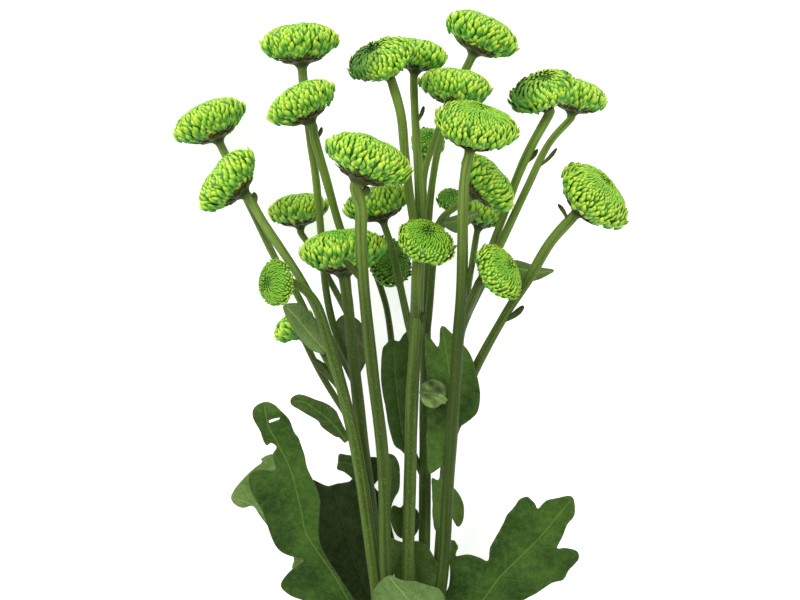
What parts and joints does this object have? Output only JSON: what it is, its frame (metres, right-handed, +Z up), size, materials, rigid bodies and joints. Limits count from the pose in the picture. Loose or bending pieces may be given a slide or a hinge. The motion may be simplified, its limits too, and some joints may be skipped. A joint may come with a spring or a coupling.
{
  "type": "gathered bunch of cut button chrysanthemum sprays",
  "caption": "Gathered bunch of cut green button chrysanthemum sprays: cushion heads of small florets on forked stems, lobed leaves low down, a plain band round the stems.",
  "frame": {"origin": "middle of the bottom of the bounding box, on the surface the bunch lies on", "axes": "+Y along the stems from the cut ends to the heads, +Z up from the surface it lies on, +X to the right seen from above"},
  "size_m": [0.1918, 0.3772, 0.1042],
  "materials": {
    "floret": "soft matte petal",
    "stem": "satin, finely ribbed",
    "leaf": "satin upper leaf",
    "leaf_pale": "matte under-leaf",
    "band": "matte elastic"
  },
  "bodies": {
    "root": {"head_01": "floret", "head_02": "floret", "head_03": "floret", "head_04": "floret", "head_05": "floret", "head_06": "floret", "head_07": "floret", "head_08": "floret", "head_09": "floret", "head_10": "floret", "head_11": "floret", "head_12": "floret", "head_13": "floret", "head_14": "floret", "head_15": "floret", "head_16": "floret", "head_17": "floret", "head_18": "floret", "head_19": "floret", "head_20": "floret", "head_21": "floret", "head_22": "floret", "head_23": "floret", "head_24": "floret", "head_25": "floret", "stem_1": "stem", "stem_2": "stem", "stem_3": "stem", "stem_4": "stem", "stem_5": "stem", "stem_6": "stem", "stem_7": "stem", "leaf_01": "leaf", "leaf_02": "leaf_pale", "leaf_03": "leaf", "leaf_04": "leaf", "leaf_05": "leaf", "leaf_06": "leaf", "leaf_07": "leaf_pale", "leaf_08": "leaf", "leaf_09": "leaf_pale", "leaf_10": "leaf", "leaf_11": "leaf", "leaf_12": "leaf", "leaf_13": "leaf_pale", "leaf_14": "leaf_pale", "leaf_15": "leaf_pale", "leaf_16": "leaf_pale", "leaf_17": "leaf", "leaf_18": "leaf", "tie_band": "band"}
  },
  "joints": []
}
